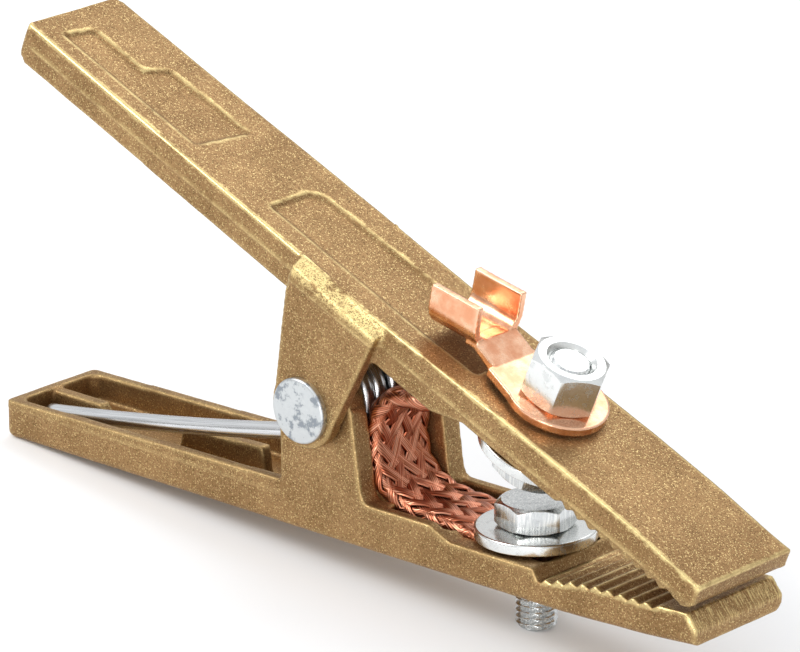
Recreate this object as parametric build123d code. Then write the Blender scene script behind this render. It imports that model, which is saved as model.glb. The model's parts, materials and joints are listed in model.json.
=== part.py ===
from build123d import *

import os
from math import asin, atan2, cos, degrees, hypot, radians, sin, tan

# A 500 A welding earth clamp: two cast arms on a riveted pivot, closed by a torsion spring.
# Lower arm frame: X from the tail to the jaw, Y across, Z up from the flat underside.
# Upper arm frame: the same, along its own top face, with its origin at the tail's top corner.
# At the end both are laid down, so that the clamp rests on its tail and its lower bolt.

# ---- driving dimensions, millimetres and degrees ----
LOWER_LENGTH = 222.0
LOWER_HALF_WIDTH = 15.5
LOWER_TAIL_HEIGHT = 9.7
LOWER_FLOOR = 3.0
LOWER_WALL = 3.0
LOWER_EAR_INNER = 9.8
LOWER_EAR_RADIUS = 11.4
EAR_ROOT = 11.6
FOOT_RADIUS = 2.1
NOSE_HEIGHT = 9.7
SEAT_HEIGHT = 8.8
SEAT_CHANNEL_FLOOR = 7.15
SEAT_START = 147.8
SEAT_END = 173.4
WALL_END = 141.5
RIB_HALF_WIDTH = 1.6

UPPER_ANGLE = 23.4
UPPER_TAIL = (13.4, 108.4)
UPPER_LENGTH = 229.3
UPPER_TAIL_HALF_WIDTH = 15.2
UPPER_HALF_WIDTH = 16.5
UPPER_PLATE = 4.0
UPPER_WALL = 3.4
UPPER_JAW_DEPTH = 7.7
UPPER_CHANNEL_END = 159.0
EAR_INNER = 15.85
EAR_OUTER = 19.5
EAR_END_RADIUS = 9.7
RECESS_DEPTH = 0.9
CAST_CORNER = 2.0

PIVOT = (105.6, 32.7)
RIVET_RADIUS = 5.0
RUNNING_CLEARANCE = 0.05
RIVET_HEAD_RADIUS = 8.05
RIVET_HEAD = 2.0
RIVET_TAIL_RADIUS = 7.2

TOOTH_PITCH = 3.75
TOOTH_DEPTH = 1.3
TEETH_START = 175.2
UPPER_TEETH_START = 184.0
TEETH_COUNT = 10

BOLT_RADIUS = 5.0
ACROSS_FLATS = 17.0
HEAD_HEIGHT = 6.4
NUT_HEIGHT = 10.8
COUNTERSINK = 0.8
BOLT_LENGTH = 24.8
UPPER_BOLT_LENGTH = 26.3
LOWER_BOLT_TURN = -15
BOLT_CHAMFER = 0.8
BOLT_NECK = 12.8
BOLT_NECK_RADIUS = 4.5
WASHER_RADIUS = 14.5
WASHER_BORE = 5.4
LOWER_BOLT_X = 161.2
LOWER_WASHER = (9.6, 12.3)
UPPER_BOLT_X = 167.0
UPPER_WASHER = (-12.4, -9.8)

PAD_RADIUS = 11.0
PAD_TOP = 1.5
LUG_THICKNESS = 2.2
LUG_RING_RADIUS = 12.4
LUG_WALL = 1.9
BARREL_START = 129.6
BARREL_LENGTH = 14.8
BARREL_TILT = 11.0
BARREL_HALF_WIDTH = 8.4
BARREL_HEIGHT = 11.0

SPRING_WIRE = 4.2
SPRING_RADIUS = 8.6
SPRING_PITCH = 4.35
SPRING_WHOLE_TURNS = 3
SPRING_LEG = 101.0
SPRING_LEG_ANGLE = 13.0
SPRING_LEG_BEND = 5.2

BRAID_WIDTH = 16.0
BRAID_THICKNESS = 4.2
BRAID_END_WIDTH = 18.0

# ---- frames ----
TILT = radians(UPPER_ANGLE)
UPPER = Plane(
    origin=(UPPER_TAIL[0], 0, UPPER_TAIL[1]),
    x_dir=(cos(TILT), 0, -sin(TILT)),
    z_dir=(sin(TILT), 0, cos(TILT)),
).location


def to_upper(x, z):
    """A point of the lower arm's frame, in the upper arm's frame."""
    dx, dz = x - UPPER_TAIL[0], z - UPPER_TAIL[1]
    return dx * cos(TILT) - dz * sin(TILT), dx * sin(TILT) + dz * cos(TILT)


def to_lower(s, n):
    """A point of the upper arm's frame, in the lower arm's frame."""
    return (
        UPPER_TAIL[0] + s * cos(TILT) + n * sin(TILT),
        UPPER_TAIL[1] - s * sin(TILT) + n * cos(TILT),
    )


PIVOT_UPPER = to_upper(*PIVOT)


# ---- small shapes ----
def prism(points, y_low, y_high):
    """A flat outline in X and Z, carried across from y_low to y_high."""
    outline = Polyline([(x, y_low, z) for x, z in points], close=True)
    return extrude(make_face(outline), amount=y_high - y_low, dir=(0, 1, 0))


def block(x, y, z):
    """A box from three (low, high) pairs."""
    corner = Pos(x[0], y[0], z[0])
    return corner * Box(x[1] - x[0], y[1] - y[0], z[1] - z[0], align=(Align.MIN,) * 3)


def slab(points, z_low, z_high):
    """A flat outline in X and Y, carried up from z_low to z_high."""
    outline = Polyline([(x, y, z_low) for x, y in points], close=True)
    return extrude(make_face(outline), amount=z_high - z_low, dir=(0, 0, 1))


def rod(radius, z_low, z_high, x=0.0, y=0.0):
    """An upright cylinder."""
    return Pos(x, y, z_low) * Cylinder(radius, z_high - z_low, align=(Align.CENTER, Align.CENTER, Align.MIN))


def cross_rod(radius, y_low, y_high, centre):
    """A cylinder along Y, with its axis through centre = (x, z)."""
    turned = Pos(centre[0], y_low, centre[1]) * Rot(-90, 0, 0)
    return turned * Cylinder(radius, y_high - y_low, align=(Align.CENTER, Align.CENTER, Align.MIN))


def pocket(x, half_width, z, corner=3.0):
    """A rounded pocket, centred across the arm."""
    middle = Pos((x[0] + x[1]) / 2, 0, z[0])
    return middle * extrude(RectangleRounded(x[1] - x[0], 2 * half_width, corner), z[1] - z[0])


def cove(corner, radius, y_low, y_high):
    """The concave fillet that fills a corner = (x, z), open towards +X and +Z."""
    x, z = corner
    fill = block((x - radius, x + radius), (y_low, y_high), (z - radius, z + radius))
    return fill - cross_rod(radius, y_low, y_high, (x + radius, z + radius))


def zigzag(start, count, crest, depth):
    """Points of a row of teeth from start on: crest(x) gives the height of each tip."""
    points = []
    for k in range(count):
        x = start + TOOTH_PITCH * (k + 0.5)
        points += [(x, crest(x)), (x + TOOTH_PITCH / 2, crest(x + TOOTH_PITCH / 2) + depth)]
    return points


# ---- lower arm ----
def lower_crest(x):
    """Height of the lower jaw's tooth tips: level at the nose, falling towards the seat."""
    return NOSE_HEIGHT - 0.25 - 0.0065 * max(0.0, 196.0 - x) ** 2


def lower_ear(front):
    """The ear on the +Y side: front holds its front edge's points from the foot up."""
    outline = [(94.2, 1), (front[0][0], 1), *front, (94.2, 33.5)]
    ear = prism(outline, LOWER_EAR_INNER, LOWER_HALF_WIDTH)
    ear += cross_rod(LOWER_EAR_RADIUS, LOWER_EAR_INNER, LOWER_HALF_WIDTH, PIVOT)
    return ear + cove(front[0], FOOT_RADIUS, LOWER_EAR_INNER, LOWER_HALF_WIDTH)


def make_lower_arm():
    land_start = TEETH_START + TOOTH_PITCH * TEETH_COUNT
    outline = [(0, 0), (182, 0), (207, 1.0), (LOWER_LENGTH - 0.4, 2.1), (LOWER_LENGTH, 6.0)]
    outline += [(219.2, NOSE_HEIGHT), (land_start, NOSE_HEIGHT - 0.25)]
    outline += list(reversed(zigzag(TEETH_START, TEETH_COUNT, lower_crest, -TOOTH_DEPTH)))[1:]
    outline += [(TEETH_START, lower_crest(TEETH_START) - TOOTH_DEPTH), (SEAT_END, SEAT_HEIGHT)]
    outline += [(SEAT_START, SEAT_HEIGHT), (WALL_END, EAR_ROOT), (93.9, EAR_ROOT - 0.2), (0, LOWER_TAIL_HEIGHT)]
    arm = prism(outline, -LOWER_HALF_WIDTH, LOWER_HALF_WIDTH)
    heel = arm.edges().filter_by(Axis.Y).sort_by(lambda edge: edge.center().X + edge.center().Z)[:1]
    arm = fillet(heel, CAST_CORNER)
    arm = fillet(arm.edges().filter_by(Axis.Z).sort_by(Axis.X)[:2], CAST_CORNER)

    near_ear = mirror(lower_ear([(120.3, EAR_ROOT), (117.4, 33.5)]), about=Plane.XZ)
    far_ear = lower_ear([(125.4, EAR_ROOT), (123.4, 28), (118.6, 37)])
    arm += near_ear + far_ear

    inner = LOWER_HALF_WIDTH - LOWER_WALL
    channel = pocket((LOWER_WALL, 94.4), inner, (LOWER_FLOOR, 20))
    channel += pocket((86.0, 130.0), LOWER_EAR_INNER, (LOWER_FLOOR, 60), 0.5)
    channel += pocket((126.2, 144.6), inner, (LOWER_FLOOR, 20), 1.5)
    channel += block((142, 172.4), (-10.0, 10.0), (SEAT_CHANNEL_FLOOR, 20))
    arm -= channel
    for rib in ([(2, 2), (24.5, 2), (19.6, 9.1), (2, 9.1)], [(46, 2), (76.0, 2), (74.8, 11.0), (48, 9.8)]):
        arm += prism(rib, -RIB_HALF_WIDTH, RIB_HALF_WIDTH)

    arm -= rod(BOLT_RADIUS, -1, 12, LOWER_BOLT_X)
    arm -= cross_rod(RIVET_RADIUS + RUNNING_CLEARANCE, -20, 20, PIVOT)
    return arm


# ---- upper arm, in its own frame ----
def shoulder_cut(reach, outward, upward):
    """What is cut off an ear's top: all over a slope that starts at this reach and faces this way."""
    slope = Plane(origin=(99.8, reach, 0), x_dir=(1, 0, -0.05 / upward), z_dir=(0.05, outward, upward))
    return slope.location * Box(120, 60, 20, align=(Align.CENTER, Align.CENTER, Align.MIN))


def make_upper_arm():
    teeth = zigzag(UPPER_TEETH_START, TEETH_COUNT, lambda x: -UPPER_JAW_DEPTH, TOOTH_DEPTH)
    outline = [(-0.6, 0), (125, -0.35), (155, 0.45), (185, 1.0), (208, 0.85), (UPPER_LENGTH, -0.35)]
    outline += [(UPPER_LENGTH, -4.6), (UPPER_LENGTH - 0.8, -6.4), (UPPER_LENGTH - 2.8, -7.4)]
    outline += list(reversed(teeth)) + [(155.5, -UPPER_JAW_DEPTH), (146, -11.1), (129, -10.9), (95, -10.6)]
    outline += [(1.4, -10.2), (-0.7, -8.4), (-1.2, -4.8)]
    arm = prism(outline, -UPPER_HALF_WIDTH, UPPER_HALF_WIDTH)
    near_side = [(-0.4, -UPPER_TAIL_HALF_WIDTH), (125, -UPPER_HALF_WIDTH), (UPPER_LENGTH, -UPPER_HALF_WIDTH)]
    far_side = [(UPPER_LENGTH, UPPER_HALF_WIDTH), (125, UPPER_HALF_WIDTH), (1.3, UPPER_TAIL_HALF_WIDTH)]
    tail_end = [(-0.6, UPPER_TAIL_HALF_WIDTH - 0.6), (-1.2, UPPER_TAIL_HALF_WIDTH - 2.2)]
    tail_end += [(-1.2, -UPPER_TAIL_HALF_WIDTH + 0.9)]
    arm &= slab(near_side + far_side + tail_end, -20, 10)

    pivot_s, pivot_n = PIVOT_UPPER
    ear = prism(
        [(98.3, 1), (127.4, 1), (126.6, -9), (pivot_s + EAR_END_RADIUS, pivot_n + 2),
         (pivot_s - EAR_END_RADIUS, pivot_n), (98.7, -8.4)],
        EAR_INNER,
        EAR_OUTER,
    )
    ear += cross_rod(EAR_END_RADIUS, EAR_INNER, EAR_OUTER, PIVOT_UPPER)
    far_ear = ear - shoulder_cut(15.9, 0.86, 0.5)
    arm += far_ear + mirror(ear - shoulder_cut(16.6, 0.6, 0.86), about=Plane.XZ)
    arm += rod(PAD_RADIUS, -UPPER_PLATE, PAD_TOP, UPPER_BOLT_X)

    inner = UPPER_HALF_WIDTH - UPPER_WALL
    channel = pocket((4.0, 152.0), inner - 1.0, (-20, -UPPER_PLATE))
    channel += block((140, UPPER_CHANNEL_END), (-inner, inner), (-20, -UPPER_JAW_DEPTH))
    arm -= channel
    for rib in ([(3, -3), (26, -3), (21, -9.4), (3, -9.2)], [(50, -3), (79, -3), (76, -9.6), (53, -9.4)]):
        arm += prism(rib, -RIB_HALF_WIDTH, RIB_HALF_WIDTH)

    arm -= slab([(6, -9.6), (54, -9.6), (56, 7.2), (28, 6.2), (25.6, -0.3), (7.6, -0.3)], -RECESS_DEPTH, 5)
    far_edge = [(80, -9), (150, -9), (150, 9.3), (86, 7), (82.5, 6.4), (80, 4)]
    arm -= slab(far_edge, -RECESS_DEPTH - 0.2, 5) - rod(PAD_RADIUS + 2, -5, 6, UPPER_BOLT_X)

    arm -= rod(WASHER_BORE, -20, 10, UPPER_BOLT_X)
    arm -= cross_rod(RIVET_RADIUS, -20, 20, PIVOT_UPPER)
    return arm


# ---- fasteners ----
def hexagon(height):
    """A hexagonal head or nut of this height, standing on Z = 0, with its corners turned down at both ends."""
    corner = ACROSS_FLATS / 2 / cos(radians(30))
    body = extrude(RegularPolygon(corner, 6), height)
    reach = ACROSS_FLATS / 2 * 0.97
    rim = corner + 1
    drop = (rim - reach) * tan(radians(30))
    shape = [(0, 0, 0), (reach, 0, 0), (rim, 0, drop), (rim, 0, height - drop), (reach, 0, height)]
    shape += [(0, 0, height)]
    return body & revolve(make_face(Polyline(shape, close=True)), Axis.Z)


def make_bolt(length):
    """A hexagon-head bolt with a slimmer neck: its seat is on Z = 0, and its shank hangs below."""
    shank = rod(BOLT_NECK_RADIUS, -BOLT_NECK, 0) + rod(BOLT_RADIUS, -length, -BOLT_NECK)
    body = hexagon(HEAD_HEIGHT) + shank
    tip = body.faces().sort_by(Axis.Z)[0]
    return chamfer(tip.edges(), BOLT_CHAMFER)


def make_washer(z, centre):
    """A large flat washer between the heights z."""
    ring = rod(WASHER_RADIUS, z[0], z[1], centre) - rod(WASHER_BORE, z[0] - 1, z[1] + 1, centre)
    return fillet(ring.edges().filter_by(GeomType.CIRCLE).group_by(SortBy.RADIUS)[-1], 0.4)


def make_nut():
    bore = rod(BOLT_RADIUS, -1, NUT_HEIGHT + 1)
    upward = (Align.CENTER, Align.CENTER, Align.MIN)
    cone = Cone(BOLT_RADIUS, BOLT_RADIUS + COUNTERSINK, COUNTERSINK, align=upward)
    sink = Pos(0, 0, NUT_HEIGHT - COUNTERSINK) * cone
    return Pos(UPPER_BOLT_X, 0, PAD_TOP + LUG_THICKNESS) * (hexagon(NUT_HEIGHT) - bore - sink)


def make_rivet():
    """One solid rivet: shank, flat factory head on the near side, closed head on the far side."""
    shank = cross_rod(RIVET_RADIUS, -EAR_OUTER, EAR_OUTER, PIVOT)
    head = cross_rod(RIVET_HEAD_RADIUS, -EAR_OUTER - RIVET_HEAD, -EAR_OUTER, PIVOT)
    head = fillet(head.edges().group_by(Axis.Y)[0], 0.7)
    tail = cross_rod(RIVET_TAIL_RADIUS, EAR_OUTER, EAR_OUTER + RIVET_HEAD, PIVOT)
    tail = chamfer(tail.edges().group_by(Axis.Y)[-1], 1.2)
    return shank + head + tail


# ---- cable lug, in the upper arm's frame ----
def make_cable_lug():
    ring = rod(LUG_RING_RADIUS, PAD_TOP, PAD_TOP + LUG_THICKNESS, UPPER_BOLT_X)
    neck_end = 152.0
    wide = [(neck_end, -8.6), (UPPER_BOLT_X - 5, -11.2), (UPPER_BOLT_X - 5, 11.2), (neck_end, 8.6)]
    lug = ring + slab(wide, PAD_TOP, PAD_TOP + LUG_THICKNESS)

    outer = RectangleRounded(2 * BARREL_HALF_WIDTH, 2 * BARREL_HEIGHT, 5.5)
    hollow = RectangleRounded(2 * (BARREL_HALF_WIDTH - LUG_WALL), 2 * (BARREL_HEIGHT - LUG_WALL), 3.7)
    keep = Pos(0, -BARREL_HEIGHT / 2) * Rectangle(30, BARREL_HEIGHT)
    section = (outer - hollow) & keep
    axis = Plane(
        origin=(BARREL_START, 0, 0.8 + BARREL_HEIGHT),
        x_dir=(0, 1, 0),
        z_dir=(cos(radians(BARREL_TILT)), 0, sin(radians(BARREL_TILT))),
    )
    barrel = extrude(axis.location * section, BARREL_LENGTH, dir=axis.z_dir)
    end_s = BARREL_START + BARREL_LENGTH * cos(radians(BARREL_TILT))
    end_n = 0.8 + BARREL_LENGTH * sin(radians(BARREL_TILT))
    bend = prism(
        [
            (end_s - 1.5, end_n - 0.3),
            (end_s + 1.0, end_n + 0.2),
            (neck_end - 0.5, PAD_TOP),
            (neck_end + 1.0, PAD_TOP),
            (neck_end + 1.0, PAD_TOP + LUG_THICKNESS),
            (end_s + 1.5, end_n + LUG_WALL + 0.3),
            (end_s - 1.5, end_n + LUG_WALL - 0.3),
        ],
        -7.0,
        7.0,
    )
    lug += barrel + bend
    return lug - rod(WASHER_BORE, 0, 20, UPPER_BOLT_X)


# ---- torsion spring ----
def arc_leg(start, angle, across):
    """One leg: a very flat arc from the coil, in the plane Y = across, leaving at angle degrees."""
    bend = -SPRING_LEG_BEND if angle > 180 else SPRING_LEG_BEND
    arc = JernArc(start, (cos(radians(angle)), sin(radians(angle))), SPRING_LEG / radians(SPRING_LEG_BEND), bend)
    path = Plane(origin=(0, across, 0), x_dir=(1, 0, 0), z_dir=(0, -1, 0)).location * arc
    section = Plane(origin=path @ 0, z_dir=path % 0) * Circle(SPRING_WIRE / 2)
    return sweep(section, path=path) + Pos(path @ 0) * Sphere(SPRING_WIRE / 2)


def make_spring():
    """A coil round the rivet, with one leg along each arm towards its tail."""
    turns = SPRING_WHOLE_TURNS + (180 - UPPER_ANGLE - 2 * SPRING_LEG_ANGLE) / 360
    height = SPRING_PITCH * turns
    low, high = 180 + SPRING_LEG_ANGLE, 180 - UPPER_ANGLE - SPRING_LEG_ANGLE
    frame = Plane(
        origin=(PIVOT[0], -height / 2, PIVOT[1]),
        x_dir=(-sin(radians(low)), 0, cos(radians(low))),
        z_dir=(0, 1, 0),
    )
    coil = Helix(SPRING_PITCH, height, SPRING_RADIUS, lefthand=True)
    section = Plane(origin=coil @ 0, z_dir=coil % 0) * Circle(SPRING_WIRE / 2)
    spring = frame.location * sweep(section, path=coil, is_frenet=True)
    for angle, across in ((low, -height / 2), (high, height / 2)):
        outward = radians(angle + 90 if angle > 180 else angle - 90)
        start = (PIVOT[0] + SPRING_RADIUS * cos(outward), PIVOT[1] + SPRING_RADIUS * sin(outward))
        spring += arc_leg(start, angle, across)
    return spring


# ---- copper braid ----
def make_braid():
    """A flat braid from under the lower washer, round in a drooping loop, to above the upper washer."""
    s_end = 151.5
    points = [(145.8, 9.6), (133.0, 8.0), (121.0, 11.5), (118.2, 21.5), (119.0, 37.0), (134.5, 37.4)]
    points += [(142.2, 41.6), to_lower(s_end, -8.9)]
    path = FilletPolyline([(x, 0, z) for x, z in points], radius=[14, 8.5, 9, 7.5, 12, 8])
    section = Plane(origin=path @ 0, x_dir=(0, 1, 0), z_dir=path % 0) * Rectangle(BRAID_WIDTH, BRAID_THICKNESS)
    loop = sweep(section, path=path)
    half = BRAID_END_WIDTH / 2
    lower_end = block((144.6, 172.0), (-half, half), (SEAT_CHANNEL_FLOOR, LOWER_WASHER[0]))
    lower_end -= rod(BOLT_RADIUS, 0, 20, LOWER_BOLT_X)
    upper_end = block((s_end - 1.5, 178.5), (-half, half), (UPPER_WASHER[1], -UPPER_JAW_DEPTH))
    upper_end -= rod(BOLT_RADIUS, -20, 0, UPPER_BOLT_X)
    return loop + lower_end + UPPER * upper_end


# ---- at rest on a level surface ----
def rest_tilt():
    """Degrees by which the lower arm tips up: it stands on its tail's round corner and its bolt's end."""
    bolt_corner = LOWER_BOLT_X - BOLT_RADIUS + BOLT_CHAMFER
    bolt_drop = BOLT_LENGTH - LOWER_WASHER[1]
    run, rise = bolt_corner - CAST_CORNER, bolt_drop + CAST_CORNER
    return degrees(atan2(rise, run) - asin(CAST_CORNER / hypot(run, rise)))


def lay_down(solids):
    """The location that stands the clamp on Z = 0, with its box centred on the origin."""
    tipped = Rot(0, -rest_tilt(), 0)
    box = Compound([tipped * solid for solid in solids]).bounding_box()
    return Pos(-box.center().X, 0, -box.min.Z) * tipped


def parts():
    """Every node's solid, in the lower arm's frame."""
    lower_seat = Pos(LOWER_BOLT_X, 0, LOWER_WASHER[1])
    upper_seat = UPPER * Pos(UPPER_BOLT_X, 0, UPPER_WASHER[0])
    return {
        "lower_arm": make_lower_arm(),
        "upper_arm": UPPER * make_upper_arm(),
        "pivot_rivet": make_rivet(),
        "torsion_spring": make_spring(),
        "lower_bolt": lower_seat * Rot(0, 0, LOWER_BOLT_TURN) * make_bolt(BOLT_LENGTH),
        "lower_washer": make_washer(LOWER_WASHER, LOWER_BOLT_X),
        "upper_bolt": upper_seat * Rot(180, 0, 0) * make_bolt(UPPER_BOLT_LENGTH),
        "upper_washer": UPPER * make_washer(UPPER_WASHER, UPPER_BOLT_X),
        "upper_nut": UPPER * make_nut(),
        "cable_lug": UPPER * make_cable_lug(),
        "braid_strap": make_braid(),
    }


if __name__ == "__main__":
    os.makedirs("parts", exist_ok=True)
    made = parts()
    rest = lay_down(made.values())
    for name, solid in made.items():
        export_step(rest * solid, f"parts/{name}.step")
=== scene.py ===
"""A brass welding ground clamp, lying closed on a pale floor.

Every shape is worked out in the flat frame of one of the clamp's two arms, in millimetres, and is then
put into the row frame in metres. The arms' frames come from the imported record.
"""

import json
import logging
from dataclasses import dataclass
from enum import Enum
from math import cos, pi, radians, sin, tan

import bmesh
import bpy
import numpy as np
from mathutils import Matrix, Vector


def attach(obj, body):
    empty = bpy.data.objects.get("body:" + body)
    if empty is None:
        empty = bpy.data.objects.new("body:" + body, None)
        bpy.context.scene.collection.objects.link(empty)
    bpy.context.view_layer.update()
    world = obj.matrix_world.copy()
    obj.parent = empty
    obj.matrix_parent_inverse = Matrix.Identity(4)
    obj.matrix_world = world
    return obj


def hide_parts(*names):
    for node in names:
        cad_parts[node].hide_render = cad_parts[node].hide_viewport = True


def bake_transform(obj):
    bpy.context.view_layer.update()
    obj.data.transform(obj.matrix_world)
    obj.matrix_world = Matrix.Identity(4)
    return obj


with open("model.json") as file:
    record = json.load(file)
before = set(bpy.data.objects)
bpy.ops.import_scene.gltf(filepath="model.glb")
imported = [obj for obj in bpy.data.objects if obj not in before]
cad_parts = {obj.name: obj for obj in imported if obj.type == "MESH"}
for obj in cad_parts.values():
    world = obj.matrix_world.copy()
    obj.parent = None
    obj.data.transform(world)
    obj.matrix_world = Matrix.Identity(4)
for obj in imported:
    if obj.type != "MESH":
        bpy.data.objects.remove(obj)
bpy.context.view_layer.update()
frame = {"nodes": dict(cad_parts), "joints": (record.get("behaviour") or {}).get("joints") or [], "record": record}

MM = 0.001
LOG = logging.getLogger("ground_clamp")


# ---- frames ----


@dataclass(frozen=True)
class ArmFrame:
    """The flat frame of one arm, in millimetres: x along it, y across it, z up from its origin."""

    origin: np.ndarray
    along: np.ndarray
    up: np.ndarray

    def axes(self) -> np.ndarray:
        """The frame's three axes in the row frame, one in each row."""
        return np.stack([self.along, np.array([0.0, 1.0, 0.0]), self.up])

    def to_row(self, points: np.ndarray) -> np.ndarray:
        """Points of this frame, in the row frame's metres."""
        return (self.origin + points @ self.axes()) * MM

    def from_row(self, points: np.ndarray) -> np.ndarray:
        """Points of the row frame in metres, in this frame's millimetres."""
        return (points / MM - self.origin) @ self.axes().T

    def tilted(self, corner: tuple[float, float], angle: float) -> "ArmFrame":
        """The frame whose origin is at corner = (x, z) here, turned nose down by angle degrees.

        Args:
            corner: the new origin's x and z in this frame.
            angle: how far the new frame's along axis dips.

        Returns:
            The new frame.
        """
        c, s = cos(radians(angle)), sin(radians(angle))
        origin = self.origin + corner[0] * self.along + corner[1] * self.up
        return ArmFrame(origin, c * self.along - s * self.up, s * self.along + c * self.up)


PIVOT = (105.6, 32.7)
UPPER_CORNER = (13.4, 108.4)
UPPER_DIP = 23.4


def lower_frame() -> ArmFrame:
    """The lower arm's frame, from the record's hinge and the arm's flat underside."""
    record = frame["record"]
    underside = next(m for m in record["mounts"] if m["name"] == "underside")
    up = -np.array(underside["axis"], float)
    along = np.array([up[2], 0.0, -up[0]])
    pivot = np.array(frame["joints"][0]["pos_m"], float) / MM
    return ArmFrame(pivot - PIVOT[0] * along - PIVOT[1] * up, along, up)


LOWER = lower_frame()
UPPER = LOWER.tilted(UPPER_CORNER, UPPER_DIP)


# ---- noise and meshes ----


class LatticeNoise:
    """Smooth noise from 0 to 1: random values on a cubic lattice, blended between the eight nearest."""

    CELLS = 48

    def __init__(self, seed: int) -> None:
        """Fills the lattice from a seeded generator."""
        self.values = np.random.default_rng(seed).random((self.CELLS,) * 3)

    def at(self, points: np.ndarray, size: float) -> np.ndarray:
        """The noise at points, with lattice cells of the given size."""
        scaled = points / size
        low = np.floor(scaled).astype(int)
        part = scaled - low
        part = part * part * (3 - 2 * part)
        total = np.zeros(points.shape[:-1])
        for corner in np.ndindex(2, 2, 2):
            index = (low + corner) % self.CELLS
            weight = np.prod(np.where(corner, part, 1 - part), axis=-1)
            total += weight * self.values[index[..., 0], index[..., 1], index[..., 2]]
        return total


def smoothstep(low: float, high: float, value: np.ndarray) -> np.ndarray:
    """0 below low, 1 above high, and a smooth rise between them."""
    t = np.clip((value - low) / (high - low), 0, 1)
    return t * t * (3 - 2 * t)


def grid_faces(rows: int, columns: int, ring: bool) -> np.ndarray:
    """The quads of a grid whose columns wrap round, and whose rows wrap too where ring is true."""
    index = np.arange(rows * columns).reshape(rows, columns)
    ahead = np.roll(index, -1, axis=0)
    if not ring:
        index, ahead = index[:-1], ahead[:-1]
    quads = [index, np.roll(index, -1, axis=1), np.roll(ahead, -1, axis=1), ahead]
    return np.stack(quads, axis=-1).reshape(-1, 4)


def linked(name: str, data: bpy.types.ID) -> bpy.types.Object:
    """A new object in the scene, at the origin, that shows this data."""
    thing = bpy.data.objects.new(name, data)
    bpy.context.scene.collection.objects.link(thing)
    return thing


def add_object(name: str, points: np.ndarray, faces: list, crease: float = 40.0) -> bpy.types.Object:
    """A new object at the origin, smooth shaded, with edges sharper than crease degrees kept sharp.

    Args:
        name: the piece's name.
        points: its vertices in the row frame, in metres.
        faces: its faces, as lists of vertex numbers.
        crease: the angle past which an edge stays sharp.

    Returns:
        The object, with its faces turned outwards.
    """
    mesh = bpy.data.meshes.new(name)
    mesh.from_pydata(points.reshape(-1, 3).tolist(), [], faces)
    work = bmesh.new()
    work.from_mesh(mesh)
    bmesh.ops.recalc_face_normals(work, faces=work.faces)
    if work.calc_volume(signed=True) < 0:
        bmesh.ops.reverse_faces(work, faces=work.faces)
    work.to_mesh(mesh)
    work.free()
    mesh.polygons.foreach_set("use_smooth", np.ones(len(mesh.polygons), bool))
    mesh.set_sharp_from_angle(angle=radians(crease))
    return linked(name, mesh)


def closed_surface(name: str, rows: np.ndarray, place: ArmFrame, ring: bool = False,
                   crease: float = 40.0) -> bpy.types.Object:
    """A closed piece from rows of points round an axis: a ring of rows, or rows closed by a fan at each end.

    Args:
        name: the piece's name.
        rows: points, shaped (rows, columns, 3), in the frame of place.
        place: the arm's frame.
        ring: whether the last row joins the first.
        crease: the angle past which an edge stays sharp.

    Returns:
        The object.
    """
    count, columns = rows.shape[:2]
    faces = grid_faces(count, columns, ring).tolist()
    points = rows.reshape(-1, 3)
    if not ring:
        ends = np.stack([rows[0].mean(0), rows[-1].mean(0)])
        points = np.concatenate([points, ends])
        for row, centre in ((0, len(points) - 2), ((count - 1) * columns, len(points) - 1)):
            faces += [[row + k, row + (k + 1) % columns, centre] for k in range(columns)]
    return add_object(name, place.to_row(points), faces, crease)


def turned(profile: list, columns: int) -> np.ndarray:
    """Rows of a turned shape about Z: each point (r, z) of the profile becomes a circle."""
    radius, height = np.array(profile, float).T
    angle = np.linspace(0, 2 * pi, columns, endpoint=False)
    flat = np.stack([np.cos(angle), np.sin(angle), np.zeros(columns)], axis=-1)
    return radius[:, None, None] * flat + height[:, None, None] * np.array([0, 0, 1.0])


def set_float(piece: bpy.types.Object, name: str, values: np.ndarray) -> None:
    """Stores one number for each vertex as a named attribute."""
    attribute = piece.data.attributes.new(name, "FLOAT", "POINT")
    attribute.data.foreach_set("value", np.asarray(values, np.float32).ravel())


# ---- shader nodes ----


class Signal:
    """A shader socket that takes part in arithmetic: each operator adds one Math node."""

    def __init__(self, tree: bpy.types.NodeTree, socket: bpy.types.NodeSocket) -> None:
        """Wraps an output socket of a node tree."""
        self.tree, self.socket = tree, socket

    def _math(self, operation: str, first: object, second: object) -> "Signal":
        """Adds a Math node on two values, each a signal or a number."""
        node = self.tree.nodes.new("ShaderNodeMath")
        node.operation = operation
        for place, value in zip(node.inputs, (first, second)):
            if isinstance(value, Signal):
                self.tree.links.new(value.socket, place)
            else:
                place.default_value = value
        return Signal(self.tree, node.outputs[0])

    def __add__(self, other: object) -> "Signal":
        """Sum."""
        return self._math("ADD", self, other)

    def __radd__(self, other: object) -> "Signal":
        """Sum, reflected."""
        return self._math("ADD", other, self)

    def __sub__(self, other: object) -> "Signal":
        """Difference."""
        return self._math("SUBTRACT", self, other)

    def __rsub__(self, other: object) -> "Signal":
        """Difference, reflected."""
        return self._math("SUBTRACT", other, self)

    def __mul__(self, other: object) -> "Signal":
        """Product."""
        return self._math("MULTIPLY", self, other)


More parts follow.
